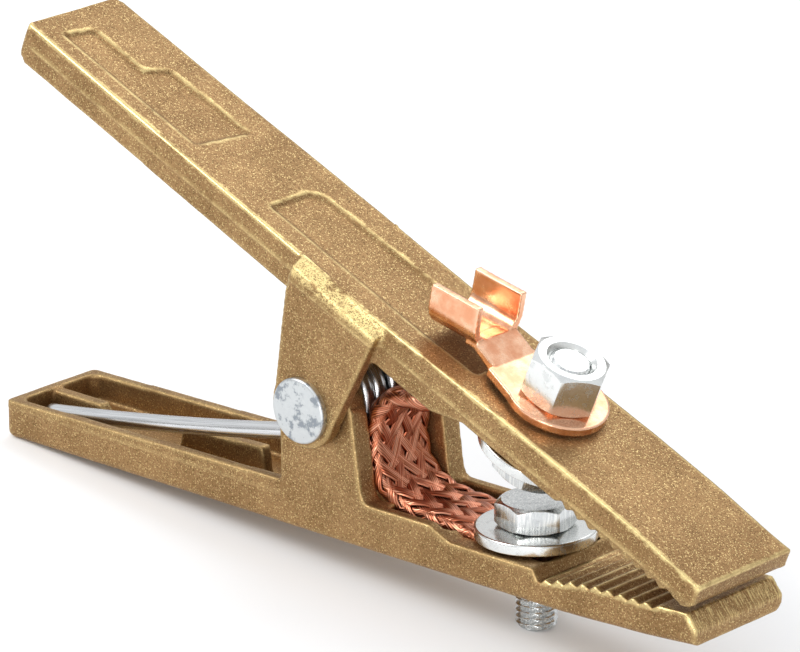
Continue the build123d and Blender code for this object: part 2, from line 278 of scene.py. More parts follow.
class Paint:
    """One material: a Principled shader and the nodes that feed it."""

    def __init__(self, name: str) -> None:
        """Makes the material with its shader."""
        self.material = bpy.data.materials.new(name)
        self.material.use_nodes = True
        self.tree = self.material.node_tree
        self.shader = self.tree.nodes["Principled BSDF"]

    def node(self, kind: str, settings: dict, inputs: dict, output: object = 0) -> Signal:
        """Adds any node.

        Args:
            kind: the node's type, without the ShaderNode prefix.
            settings: the node's own properties, set first.
            inputs: numbers, colours or signals for its sockets, by name or number.
            output: which output is returned.

        Returns:
            The output as a signal.
        """
        node = self.tree.nodes.new("ShaderNode" + kind)
        for key, value in settings.items():
            setattr(node, key, value)
        for key, value in inputs.items():
            if isinstance(value, Signal):
                self.tree.links.new(value.socket, node.inputs[key])
            else:
                node.inputs[key].default_value = value
        return Signal(self.tree, node.outputs[output])

    def place(self) -> Signal:
        """Object coordinates, in metres."""
        return self.node("TexCoord", {}, {}, "Object")

    def attribute(self, name: str) -> Signal:
        """A number stored on the mesh."""
        return self.node("Attribute", {"attribute_name": name}, {}, "Fac")

    def noise(self, where: Signal, size: float, detail: float = 3.0, rough: float = 0.55) -> Signal:
        """Noise with features of about size millimetres."""
        values = {"Vector": where, "Scale": 1 / (size * MM), "Detail": detail, "Roughness": rough}
        return self.node("TexNoise", {}, values, "Fac")

    def grains(self, where: Signal, size: float) -> Signal:
        """A random value for each cell of about size millimetres."""
        colour = self.node("TexVoronoi", {}, {"Vector": where, "Scale": 1 / (size * MM)}, "Color")
        return self.node("SeparateColor", {}, {"Color": colour}, 0)

    def stretched(self, where: Signal, scale: tuple[float, float, float],
                  turn: tuple[float, float, float] = (0, 0, 0)) -> Signal:
        """Coordinates turned, then scaled along each axis."""
        values = {"Vector": where, "Scale": scale, "Rotation": turn}
        return self.node("Mapping", {"vector_type": "TEXTURE"}, values)

    def rise(self, value: Signal, low: float, high: float, start: float = 0.0, end: float = 1.0) -> Signal:
        """A smooth rise from start to end as value goes from low to high."""
        values = {"Value": value, "From Min": low, "From Max": high, "To Min": start, "To Max": end}
        return self.node("MapRange", {"interpolation_type": "SMOOTHSTEP"}, values)

    def mix(self, factor: Signal, first: object, second: object) -> Signal:
        """A colour between two colours, each a signal or three numbers."""
        pair = [v if isinstance(v, Signal) else (*v, 1.0) for v in (first, second)]
        values = {0: factor, 6: pair[0], 7: pair[1]}
        return self.node("Mix", {"data_type": "RGBA"}, values, 2)

    def bump(self, height: Signal, depth: float) -> Signal:
        """A bumped normal: a height of 1 stands depth millimetres out."""
        return self.node("Bump", {}, {"Height": height, "Distance": depth * MM, "Strength": 1.0})

    def feed(self, **links: Signal) -> None:
        """Links signals to the shader's sockets, named with underscores for spaces."""
        for key, value in links.items():
            self.tree.links.new(value.socket, self.shader.inputs[key.replace("_", " ")])

    def fix(self, **values: object) -> None:
        """Sets constants on the shader's sockets, named with underscores for spaces."""
        for key, value in values.items():
            self.shader.inputs[key.replace("_", " ")].default_value = value


# ---- finishes ----


@dataclass(frozen=True)
class CastBrass:
    """Tumbled sand-cast brass: grainy golden brown, glittering, bright and smooth along edges brightened by wear
    and by a painted highlight, and darker in its hollows from painted shade.
    """

    dull: tuple = (0.225, 0.127, 0.050)
    warm: tuple = (0.48, 0.298, 0.138)
    bright: tuple = (0.92, 0.73, 0.34)
    dark: tuple = (0.075, 0.042, 0.018)
    grain_size: float = 0.24

    def make(self) -> bpy.types.Material:
        """The material; it reads the casting's bright_edges (wear and painted highlight), ground, bevel and
        hollow_shade (painted shade) attributes.
        """
        paint = Paint("cast_brass")
        where = paint.place()
        bright_edges, ground = paint.attribute("bright_edges"), paint.attribute("ground")
        bevel, hollow_shade = paint.attribute("bevel"), paint.attribute("hollow_shade")
        cloud = paint.rise(paint.noise(where, 14.0, 4.0, 0.6), 0.32, 0.68)
        sand = paint.noise(where, 0.55, 2.0, 0.6)
        grain = paint.grains(where, self.grain_size)
        grooves = paint.noise(paint.stretched(where, (9, 1, 9)), 0.42, 2.0)
        spark = paint.rise(grain, 0.84, 0.97)
        pit = paint.rise(grain, 0.16, 0.03)
        colour = paint.mix(cloud * 0.35 + sand * 1.1 - 0.25, self.dull, self.warm)
        colour = paint.mix(pit * 0.5, colour, self.dark)
        colour = paint.mix(spark * 0.5, colour, self.bright)
        # painted shade: hollows and corners are darkened towards dark
        colour = paint.mix(hollow_shade * 0.45, colour, self.dark)
        colour = paint.mix(bevel * paint.rise(grooves, 0.44, 0.66) * 0.55, colour, self.bright)
        # edge brightening: wear, and on the upper arm a painted highlight
        colour = paint.mix(bright_edges, colour, self.bright)
        colour = paint.mix(ground * paint.rise(grain, 0.15, 0.5, 0.25, 1.0), colour, self.bright)
        height = sand * 0.55 + grain * 0.45 + bevel * grooves * 3.0
        rough = paint.rise(bright_edges, 0.0, 1.0, 0.50, 0.30) - spark * 0.14 + pit * 0.1
        paint.feed(Base_Color=colour, Roughness=rough, Normal=paint.bump(height * (1 - bright_edges * 0.5), 0.09))
        paint.fix(Metallic=1.0)
        return paint.material


class Zinc(Enum):
    """How a zinc-plated steel piece was finished."""

    DRAWN = "drawn"
    TURNED = "turned"
    MOTTLED = "mottled"


@dataclass(frozen=True)
class ZincSteel:
    """Bright zinc plate on steel, with fine marks of how the piece was made."""

    kind: Zinc
    light: tuple = (0.82, 0.83, 0.81)
    shade: tuple = (0.38, 0.40, 0.42)
    patches: float = 0.2
    base_roughness: float = 0.14

    def make(self) -> bpy.types.Material:
        """The material, with streaks, rings or blotches by its kind."""
        paint = Paint("zinc_" + self.kind.value)
        where = paint.place()
        if self.kind is Zinc.DRAWN:
            marks = paint.noise(paint.stretched(where, (1, 1, 16)), 0.45, 3.0)
            colour = paint.mix(paint.rise(marks, 0.40, 0.66, 0.45, 1.0), self.shade, self.light)
            depth = 0.012
        else:
            marks = paint.noise(where, 0.7, 4.0, 0.6)
            colour = paint.mix(marks * 0.2, self.light, self.shade)
            depth = 0.012
        blotch = paint.rise(paint.noise(where, 2.6, 5.0, 0.66), 0.50, 0.62)
        colour = paint.mix(blotch * self.patches, colour, self.shade)
        rough = self.base_roughness + marks * 0.14 + blotch * 0.10
        paint.feed(Base_Color=colour, Roughness=rough, Normal=paint.bump(marks, depth))
        paint.fix(Metallic=1.0)
        return paint.material


@dataclass(frozen=True)
class SpringWire:
    """Bright drawn spring wire, with long faint die lines."""

    light: tuple = (0.72, 0.73, 0.74)
    dark: tuple = (0.50, 0.51, 0.52)

    def make(self) -> bpy.types.Material:
        """The material; it reads how far round and how far along the wire a point is."""
        paint = Paint("spring_wire")
        combined = paint.node("CombineXYZ", {}, {"X": paint.attribute("round") * 9.0,
                                                 "Y": paint.attribute("along") * 0.05})
        lines = paint.node("TexNoise", {}, {"Vector": combined, "Scale": 1.0, "Detail": 3.0}, "Fac")
        colour = paint.mix(paint.rise(lines, 0.42, 0.66), self.light, self.dark)
        paint.feed(Base_Color=colour, Roughness=0.15 + lines * 0.2, Normal=paint.bump(lines, 0.02))
        paint.fix(Metallic=1.0)
        return paint.material


@dataclass(frozen=True)
class LugCopper:
    """Polished copper sheet, with a faint haze and edges made lighter by rubbing."""

    light: tuple = (0.95, 0.60, 0.40)
    deep: tuple = (0.78, 0.36, 0.20)

    def make(self) -> bpy.types.Material:
        """The material; it reads the lug's bright_edges attribute."""
        paint = Paint("lug_copper")
        where = paint.place()
        haze = paint.noise(where, 5.0, 4.0, 0.6)
        fine = paint.noise(where, 0.6, 3.0)
        bright_edges = paint.attribute("bright_edges")
        colour = paint.mix(paint.rise(haze, 0.35, 0.7), self.deep, self.light)
        colour = paint.mix(bright_edges * 0.6, colour, self.light)
        rough = 0.17 + haze * 0.12 + fine * 0.06
        paint.feed(Base_Color=colour, Roughness=rough, Normal=paint.bump(fine, 0.012))
        paint.fix(Metallic=1.0)
        return paint.material


@dataclass(frozen=True)
class BraidCopper:
    """Bare copper wire in bundles: salmon where it is bright, with painted shade, near-black red brown, between
    the wires.
    """

    light: tuple = (0.96, 0.46, 0.29)
    mid: tuple = (0.55, 0.165, 0.08)
    gap_shade_colour: tuple = (0.10, 0.02, 0.012)

    def make(self) -> bpy.types.Material:
        """The material; it reads each point's place across its bundle and along it."""
        paint = Paint("braid_copper")
        across = paint.attribute("across")
        along = paint.attribute("along")
        bundle = paint.attribute("bundle")
        lane = paint.node("CombineXYZ", {}, {"X": across * 1.3, "Y": along * 0.07, "Z": bundle * 7.3})
        streak = paint.node("TexNoise", {}, {"Vector": lane, "Scale": 1.0, "Detail": 3.0}, "Fac")
        wire_gap_shade = paint.attribute("wire_gap_shade")
        colour = paint.mix(paint.rise(streak, 0.38, 0.66), self.mid, self.light)
        # painted shade between the wires, at the bundle ends and on the core
        colour = paint.mix(wire_gap_shade * 0.8, colour, self.gap_shade_colour)
        paint.feed(Base_Color=colour, Roughness=0.24 + streak * 0.12)
        paint.fix(Metallic=1.0)
        return paint.material


# ---- castings ----


def merged_copy(node: str, place: ArmFrame) -> bpy.types.Object:
    """A watertight copy of a CAD node's mesh, in the millimetres of an arm's frame."""
    source = frame["nodes"][node].data
    points = np.empty(len(source.vertices) * 3)
    source.vertices.foreach_get("co", points)
    mesh = source.copy()
    mesh.vertices.foreach_set("co", place.from_row(points.reshape(-1, 3)).ravel())
    mesh.materials.clear()
    work = bmesh.new()
    work.from_mesh(mesh)
    bmesh.ops.remove_doubles(work, verts=work.verts, dist=1e-4)
    work.to_mesh(mesh)
    work.free()
    return linked(node + "_copy", mesh)


def remeshed(copy: bpy.types.Object, voxel: float) -> bpy.types.Mesh:
    """The copy's surface as an even mesh of small quads; the copy is removed."""
    modifier = copy.modifiers.new("even", "REMESH")
    modifier.mode = "VOXEL"
    modifier.voxel_size = voxel
    modifier.use_smooth_shade = True
    graph = bpy.context.evaluated_depsgraph_get()
    mesh = bpy.data.meshes.new_from_object(copy.evaluated_get(graph))
    bpy.data.objects.remove(copy)
    return mesh


@dataclass
class Relief:
    """An even mesh as arrays, which can be smoothed and pushed out along its normals."""

    mesh: bpy.types.Mesh

    def __post_init__(self) -> None:
        """Reads the vertices and edges."""
        count = len(self.mesh.vertices)
        self.points = np.empty(count * 3)
        self.mesh.vertices.foreach_get("co", self.points)
        self.points = self.points.reshape(-1, 3)
        edges = np.empty(len(self.mesh.edges) * 2, np.int32)
        self.mesh.edges.foreach_get("vertices", edges)
        one, two = edges.reshape(-1, 2).T
        self.ends = np.concatenate([one, two])
        self.others = np.concatenate([two, one])
        self.valence = np.bincount(self.ends, minlength=count)[:, None]

    def spread(self, values: np.ndarray) -> np.ndarray:
        """The mean of each vertex's neighbours."""
        count = len(self.points)
        columns = values[self.others].T
        sums = [np.bincount(self.ends, column, minlength=count) for column in columns]
        return np.stack(sums, axis=-1) / self.valence

    def relax(self, times: int) -> None:
        """Smooths without shrinking: each pass moves a vertex to its neighbours' mean and a little back."""
        for _ in range(times):
            for step in (0.5, -0.52):
                self.points += step * (self.spread(self.points) - self.points)

    def normals(self) -> np.ndarray:
        """The outward normal of each vertex."""
        self.mesh.vertices.foreach_set("co", self.points.ravel())
        self.mesh.update()
        found = np.empty(len(self.points) * 3, np.float32)
        self.mesh.vertex_normals.foreach_get("vector", found)
        return found.reshape(-1, 3).astype(float)

    def bulge(self, passes: int) -> np.ndarray:
        """How far each vertex stands out of its neighbourhood: positive on an edge, negative in a corner."""
        normal = self.normals()
        mean = self.points
        for _ in range(passes):
            mean = self.spread(mean)
        stand = ((self.points - mean) * normal).sum(1)[:, None]
        return self.spread(stand)[:, 0]

    def push(self, distance: np.ndarray) -> None:
        """Moves each vertex out along its normal."""
        self.points += self.normals() * distance[:, None]

    def finish(self, name: str, place: ArmFrame) -> bpy.types.Object:
        """The mesh as an object in the row frame."""
        self.mesh.vertices.foreach_set("co", place.to_row(self.points).ravel())
        self.mesh.polygons.foreach_set("use_smooth", np.ones(len(self.mesh.polygons), bool))
        self.mesh.update()
        self.mesh.name = name
        return linked(name, self.mesh)


@dataclass
class Casting:
    """A sand-cast arm: the designed shape with soft edges, brightened by wear and on the upper arm by a painted
    highlight, a faintly uneven skin and ground spots.
    """

    node: str
    place: ArmFrame
    seed: int
    voxel: float = 0.56
    wave: float = 0.10
    skin: float = 0.07
    flash_height: float = 0.28
    softening: int = 2
    edge_reach: int = 3
    wear: tuple = (0.05, 0.13)
    wear_chance: float = 0.16

    def ground(self, points: np.ndarray) -> np.ndarray:
        """How far each point was ground bright after casting, from 0 to 1."""
        return np.zeros(len(points))

    def bevel(self, points: np.ndarray) -> np.ndarray:
        """How strongly coarse grinding marks run down each point, from 0 to 1."""
        return np.zeros(len(points))

    def wear_and_highlight(self, points: np.ndarray) -> np.ndarray:
        """How much an edge at each point is brightened, from 0 to 1: by wear, and on the upper arm also by a
        painted highlight.
        """
        return np.full(len(points), 0.3)

    def flash(self, points: np.ndarray) -> np.ndarray:
        """The thin line along both sides where the mould's halves met, from 0 to 1."""
        return np.zeros(len(points))

    def edge_gain(self, points: np.ndarray) -> np.ndarray:
        """How much more strongly than elsewhere an edge at each point takes the edge brightening, and a corner the
        painted shade.
        """
        return np.ones(len(points))

    def trimmed(self, points: np.ndarray) -> np.ndarray:
        """The points after anything that was filed off below them."""
        return points

    def build(self) -> bpy.types.Object:
        """Makes the casting with its bright_edges attribute, for wear and a painted highlight, and its
        hollow_shade attribute, for painted shade in hollows and corners.
        """
        relief = Relief(remeshed(merged_copy(self.node, self.place), self.voxel))
        relief.points = self.trimmed(relief.points)
        relief.relax(self.softening)
        bulge = relief.bulge(self.edge_reach) * self.edge_gain(relief.points)
        noise = LatticeNoise(self.seed)
        points = relief.points.copy()
        ground = self.ground(points)
        coarse = noise.at(points, 9.0) - 0.5
        fine = 0.6 * (noise.at(points, 2.6) - 0.5) + 0.4 * (noise.at(points + 7.7, 1.3) - 0.5)
        flash = self.flash(points)
        relief.push(coarse * self.wave + fine * self.skin * (1 - ground) + self.flash_height * flash)
        break_up = noise.at(points, 4.2) * 0.5 + noise.at(points + 3.1, 0.9) * 0.5
        # edge brightening from wear, plus the painted highlight that the upper arm's wear_and_highlight adds
        bright_edges = smoothstep(*self.wear, bulge + self.wear_chance * (break_up - 0.55)) * self.wear_and_highlight(points)
        bright_edges = np.maximum(bright_edges, flash * (0.15 + 0.3 * smoothstep(0.35, 0.6, break_up)))
        piece = relief.finish(self.node + "_casting", self.place)
        set_float(piece, "bright_edges", bright_edges)
        set_float(piece, "ground", ground * smoothstep(0.2, 0.45, break_up))
        set_float(piece, "bevel", self.bevel(points))
        # painted shade: the deeper a point sits in a hollow or corner, the darker the brass there
        set_float(piece, "hollow_shade", smoothstep(0.05, 0.22, -bulge))
        return piece


@dataclass
class LowerCasting(Casting):
    """The lower arm, whose nose is ground to a bevel."""

    nose_start: float = 218.4
    teeth: tuple = (174.0, 214.0)

    def bevel(self, points: np.ndarray) -> np.ndarray:
        """The nose's sloping end, above its foot."""
        x, _, z = points.T
        return smoothstep(self.nose_start, self.nose_start + 0.8, x) * smoothstep(4.4, 5.6, z)

    def wear_and_highlight(self, points: np.ndarray) -> np.ndarray:
        """The teeth and what stands beyond them are bright; the other edges barely."""
        x, _, z = points.T
        teeth = smoothstep(self.teeth[0], self.teeth[0] + 1, x) * smoothstep(5.0, 6.5, z)
        return 0.16 + 0.5 * teeth

    def flash(self, points: np.ndarray) -> np.ndarray:
        """A faint line just under the tail's top edge."""
        x, y, z = points.T
        side = smoothstep(14.9, 15.3, abs(y)) * smoothstep(96, 92, x)
        return 0.6 * side * np.exp(-(((z - 8.3) / 0.45) ** 2))


@dataclass
class UpperCasting(Casting):
    """The upper arm, with the mould's joint along its sides and ground shoulders over its ears."""

    joint_height: float = -5.2

    def ground(self, points: np.ndarray) -> np.ndarray:
        """The sloping shoulders on top of both ears."""
        s, y, n = points.T
        over_ear = smoothstep(15.9, 16.5, abs(y)) * smoothstep(-4.6, -3.4, n)
        return over_ear * smoothstep(98.4, 99.4, s) * smoothstep(128.2, 127.2, s)

    def wear_and_highlight(self, points: np.ndarray) -> np.ndarray:
        """A little wear brightens every edge; on top a painted highlight adds to it, on the recesses' rims and
        most on the near top edge, the far top edge less so.
        """
        _, y, n = points.T
        top = smoothstep(-1.8, -0.9, n)
        inside = smoothstep(12.5, 11.5, abs(y))
        # painted highlight: top edges only, strongest along the near top edge
        return 0.18 + top * (0.18 + 0.22 * inside + 0.52 * smoothstep(13.5, 14.5, -y))

    def edge_gain(self, points: np.ndarray) -> np.ndarray:
        """The low steps round the recesses take the painted highlight and the wear of the full edges."""
        s, y, n = points.T
        recess = smoothstep(12.5, 11.5, abs(y)) * smoothstep(150, 148, s)
        return 1 + 0.9 * smoothstep(-1.0, -0.5, n) * recess

    def trimmed(self, points: np.ndarray) -> np.ndarray:
        """The far shoulder is filed steeply down from the top face's edge."""
        y, n = points[:, 1], points[:, 2]
        limit = np.where((y > 15.9) & (n > -6), -0.3 - 2.0 * (y - 15.9), n)
        return np.column_stack([points[:, :2], np.minimum(n, limit)])

    def flash(self, points: np.ndarray) -> np.ndarray:
        """A low ridge along each side."""
        s, y, n = points.T
        side = smoothstep(14.2, 14.9, abs(y)) * smoothstep(1, 4, s)
        return side * np.exp(-(((n - self.joint_height) / 0.45) ** 2))


# ---- hardware ----


HEX_CREASE = 22


@dataclass(frozen=True)
class Hexagon:
    """A hexagon with a corner on X, and with its corners turned to a cone at both ends."""

    across_flats: float = 17.0
    height: float = 6.4
    corner_power: float = 90.0
    chamfer_start: float = 0.95
    slope: float = tan(radians(30))
    columns: int = 144

    def angles(self) -> np.ndarray:
        """The directions of the columns."""
        return np.linspace(0, 2 * pi, self.columns, endpoint=False)

    def radius(self) -> np.ndarray:
        """The outline's radius in each direction: a power mean of the six flats rounds its corners."""
        flats = pi / 6 + np.arange(6) * pi / 3
        facing = np.clip(np.cos(self.angles()[:, None] - flats), 0, None)
        return self.across_flats / 2 / (facing ** self.corner_power).sum(1) ** (1 / self.corner_power)

    def side_rows(self) -> tuple[np.ndarray, np.ndarray]:
        """Radii and heights of the rows from the underside, over both chamfers, to the top face.

        Returns:
            Two arrays shaped (rows, columns).
        """
        outline = self.radius()
        reach = self.across_flats / 2 * self.chamfer_start
        shares = np.array([0.0, 0.15, 0.35, 0.6, 0.85, 1.0])[:, None]
        radius = reach + shares * (outline - reach)
        rise = (radius - reach) * self.slope + 0.02
        radius[-1] -= 0.04
        radius = np.concatenate([radius[:1] - 0.25, radius, [outline]])
        rise = np.concatenate([0 * rise[:1], rise, rise[-1:] + 0.16])
        return np.concatenate([radius, radius[::-1]]), np.concatenate([rise, self.height - rise[::-1]])


def around(radius: np.ndarray, height: np.ndarray, angle: np.ndarray) -> np.ndarray:
    """Points about Z from radii and heights, each shaped (rows, columns)."""
    return np.stack([radius * np.cos(angle), radius * np.sin(angle), height], axis=-1)


@dataclass(frozen=True)
class Bolt:
    """A hexagon-head bolt with a rolled thread: the head stands on Z = 0 and the shank hangs below it."""

    length: float = 24.8
    turn: float = 0.0
    neck: tuple = (4.5, 12.8)
    radius: float = 5.0
    pitch: float = 1.5
    depth: float = 0.9
    tip: float = 0.8
    rows_per_turn: int = 12

    def rows(self) -> np.ndarray:
        """The whole bolt's rows, from the head's top face to the tip.

        The thread's radius falls from the crest by its depth times a triangle wave of height less angle.
        """
        head = Hexagon()
        angle = head.angles()
        ones = np.ones_like(angle)
        head_radius, head_height = head.side_rows()
        head_radius, head_height = head_radius[::-1], head_height[::-1]
        top_radius, top_height = [ones * 0.4, ones * 4.0], [ones * head.height] * 2
        seat_radius, seat_height = [ones * 7.0, ones * (self.radius + 0.2)], [ones * 0.0] * 2
        height = -np.arange(0.1, self.length, self.pitch / self.rows_per_turn)
        height = np.append(height, -self.length)[:, None] * ones
        phase = (height / self.pitch - angle / (2 * pi)) % 1.0
        wave = np.clip(abs(2 * phase - 1) * 1.25 - 0.125, 0, 1)
        crest = np.minimum(self.radius, self.radius - self.tip + (height + self.length) * 1.1)
        thread = np.minimum(self.radius - self.depth * wave, crest)
        thread = np.where(height > -self.neck[1], self.neck[0], thread)
        radius = np.concatenate([top_radius, head_radius, seat_radius, thread, [ones * 2.5, ones * 0.4]])
        end = [ones * -self.length] * 2
        heights = np.concatenate([top_height, head_height, seat_height, height, end])
        return around(radius, heights, angle + radians(self.turn))


@dataclass
class Hardware:
    """The clamp's zinc-plated bolts, washers, nut and rivet."""

    lower_seat: tuple = (161.2, 12.3)
    upper_seat: tuple = (167.0, -12.4)
    washer_radius: float = 14.5
    washer_bore: float = 5.4
    lower_washer: tuple = (9.6, 12.3)
    upper_washer: tuple = (-12.4, -9.8)
    nut_base: float = 3.7
    nut_height: float = 10.8
    upper_length: float = 26.3
    lower_turn: float = -15.0
    ear_face: float = 19.5

    def bolt(self, name: str, shape: Bolt, place: ArmFrame, seat: tuple, head_up: bool) -> bpy.types.Object:
        """A bolt with its head's seat at seat = (x, z) of an arm's frame."""
        rows = shape.rows()
        if not head_up:
            rows = rows * np.array([1, -1, -1])
        return closed_surface(name, rows + np.array([seat[0], 0, seat[1]]), place, crease=HEX_CREASE)

    def washer(self, name: str, place: ArmFrame, x: float, levels: tuple) -> bpy.types.Object:
        """A stamped flat washer: its upper rim is rounded, its lower rim nearly sharp."""
        low, high = levels
        outer, bore = self.washer_radius, self.washer_bore
        bend = np.linspace(0, pi / 2, 7)
        rim = [(outer - 0.6 + 0.6 * sin(a), high - 0.6 + 0.6 * cos(a)) for a in bend]
        foot = [(outer - 0.25 + 0.25 * cos(a), low + 0.25 - 0.25 * sin(a)) for a in bend]
        profile = [(bore, low + 0.2), (bore, high - 0.3), (bore + 0.3, high), (9.0, high + 0.02), *rim, *foot]
        profile += [(bore + 0.2, low)]
        return closed_surface(name, turned(profile, 128) + np.array([x, 0, 0]), place, ring=True, crease=50)

    def nut(self) -> bpy.types.Object:
        """The nut on the cable lug, with a countersunk thread mouth."""
        shape = Hexagon(height=self.nut_height)
        ones = np.ones(shape.columns)
        radius, height = shape.side_rows()
        mouth = [(6.3, self.nut_height), (6.1, self.nut_height - 0.03), (5.15, self.nut_height - 1.0)]
        mouth += [(5.02, self.nut_height - 1.3), (5.02, 0.4), (5.6, 0.0)]
        radius = np.concatenate([radius, [ones * r for r, _ in mouth]])
        height = np.concatenate([height, [ones * z for _, z in mouth]])
        rows = around(radius, height, shape.angles())
        rows = rows + np.array([self.upper_seat[0], 0, self.nut_base])
        return closed_surface("hex_nut", rows, UPPER, ring=True, crease=HEX_CREASE)

    def rivet(self) -> bpy.types.Object:
        """The pivot rivet about Y: a flat head towards -Y, and a closed head with a wide bevel towards +Y."""
        face = self.ear_face
        bend = np.linspace(0, pi / 2, 7)
        near = [(0.3, face + 2.02), (4.5, face + 1.99), (6.6, face + 1.85)]
        near += [(7.35 + 0.7 * sin(a), face + 1.0 + 0.75 * cos(a)) for a in bend] + [(7.95, face + 0.02)]
        steps = [(7.2, 0.02), (7.2, 0.8), (6.9, 1.2), (5.6, 1.9), (0.3, 2.0)]
        far = [(radius, -face - out) for radius, out in steps]
        rows = turned(near + [(5.0, face), (5.0, -face)] + far, 96)
        rows = np.stack([rows[..., 0], -rows[..., 2], rows[..., 1]], axis=-1)
        return closed_surface("rivet", rows + np.array([PIVOT[0], 0, PIVOT[1]]), LOWER, crease=45)

    def build(self) -> None:
        """Makes and dresses every piece of hardware."""
        drawn = ZincSteel(Zinc.DRAWN).make()
        turned_finish = ZincSteel(Zinc.TURNED).make()
        mottled = ZincSteel(Zinc.MOTTLED, (0.66, 0.68, 0.68), (0.20, 0.23, 0.27), 0.75, 0.3).make()
        jaw_bolt = self.bolt("jaw_bolt", Bolt(turn=self.lower_turn), LOWER, self.lower_seat, True)
        lug_bolt = self.bolt("lug_bolt", Bolt(length=self.upper_length), UPPER, self.upper_seat, False)
        jaw_washer = self.washer("jaw_washer", LOWER, self.lower_seat[0], self.lower_washer)
        lug_washer = self.washer("lug_washer", UPPER, self.upper_seat[0], self.upper_washer)
        pieces = [
            (jaw_bolt, "lower_bolt", "lower", drawn),
            (lug_bolt, "upper_bolt", "upper", drawn),
            (jaw_washer, "lower_washer", "lower", turned_finish),
            (lug_washer, "upper_washer", "upper", turned_finish),
            (self.nut(), "upper_nut", "upper", turned_finish),
            (self.rivet(), "pivot_rivet", "upper", mottled),
        ]
        for piece, node, body, finish in pieces:
            dress(piece, node, finish)
            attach(piece, body)


# ---- spring ----


@dataclass
class Spring:
    """A torsion spring round the rivet: a coil of three and a third turns, and one leg along each arm."""

    wire: float = 2.1
    radius: float = 8.6
    pitch: float = 4.35
    leg: float = 101.0
    leg_angle: float = 13.0
    leg_bend: float = 5.2
    end_crowding: float = 0.045
    sides: int = 24

    def leg_path(self, start: np.ndarray, angle: float, bend: float) -> tuple[np.ndarray, np.ndarray]:
        """A flat arc away from the coil.

        Args:
            start: the point, as (x, z), where the leg leaves the coil.
            angle: its direction there, in degrees from +X towards +Z.
            bend: how far the direction turns along the leg.

        Returns:
            The arc's points and its directions in degrees.
        """
        share = np.linspace(0, 1, 48)
        heading = angle + bend * share
        step = self.leg / (len(share) - 1)
        moves = np.stack([np.cos(np.radians(heading)), np.sin(np.radians(heading))], axis=-1) * step
        return start + np.concatenate([[[0, 0]], np.cumsum(moves[1:], axis=0)]), heading

    def path(self) -> tuple[np.ndarray, np.ndarray]:
        """The wire's centre line and the outward direction at each of its points, in the lower frame."""
        low, high = 180 + self.leg_angle, 180 - UPPER_DIP - self.leg_angle
        turns = 3 + (180 - UPPER_DIP - 2 * self.leg_angle) / 360
        half = self.pitch * turns / 2
        angle = np.radians(low + 90 + np.linspace(0, 360 * turns, 260))
        centre = np.array(PIVOT)
        circle = centre + self.radius * np.stack([np.cos(angle), np.sin(angle)], axis=-1)
        share = np.linspace(0, 1, len(angle))
        ease = share - self.end_crowding * np.sin(2 * pi * share)
        across = -half + 2 * half * ease
        first, first_heading = self.leg_path(circle[0], low, -self.leg_bend)
        last, last_heading = self.leg_path(circle[-1], high, self.leg_bend)
        flat = np.concatenate([first[:0:-1], circle, last[1:]])
        y = np.concatenate([np.full(len(first) - 1, -half), across, np.full(len(last) - 1, half)])
        outward = np.concatenate([
            np.radians(first_heading[:0:-1] + 90), angle, np.radians(last_heading[1:] - 90)])
        side = np.stack([np.cos(outward), np.zeros(len(outward)), np.sin(outward)], axis=-1)
        return np.stack([flat[:, 0], y, flat[:, 1]], axis=-1), side

    def build(self) -> None:
        """Sweeps a circle along the path."""
        line, side = self.path()
        heading = np.gradient(line, axis=0)
        heading /= np.linalg.norm(heading, axis=1)[:, None]
        other = np.cross(heading, side)
        angle = np.linspace(0, 2 * pi, self.sides, endpoint=False)
        ring = np.cos(angle)[None, :, None] * side[:, None] + np.sin(angle)[None, :, None] * other[:, None]
        rows = line[:, None] + self.wire * ring
        tips = [line[0] - heading[0] * 0.35 + self.wire * 0.82 * ring[0],
                line[-1] + heading[-1] * 0.35 + self.wire * 0.82 * ring[-1]]
        rows = np.concatenate([[tips[0]], rows, [tips[1]]])
        piece = closed_surface("spring", rows, LOWER, crease=60)
        step = np.linalg.norm(np.diff(rows[:, 0], axis=0), axis=1)
        run = np.concatenate([[0], np.cumsum(step)])
        along = np.repeat(run, self.sides)
        turn = np.tile(abs(angle - pi), len(rows))
        set_float(piece, "along", np.append(along, [0, run[-1]]))
        set_float(piece, "round", np.append(turn, [0, 0]))
        dress(piece, "torsion_spring", SpringWire().make())
        hinge = np.array([PIVOT[0], 0, PIVOT[1]])
        start = LOWER.to_row(hinge - [0, 0, self.radius - self.wire])
        end = LOWER.to_row(hinge + [0, 0, self.radius - self.wire - 1.7])
        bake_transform(piece)


# ---- braid ----


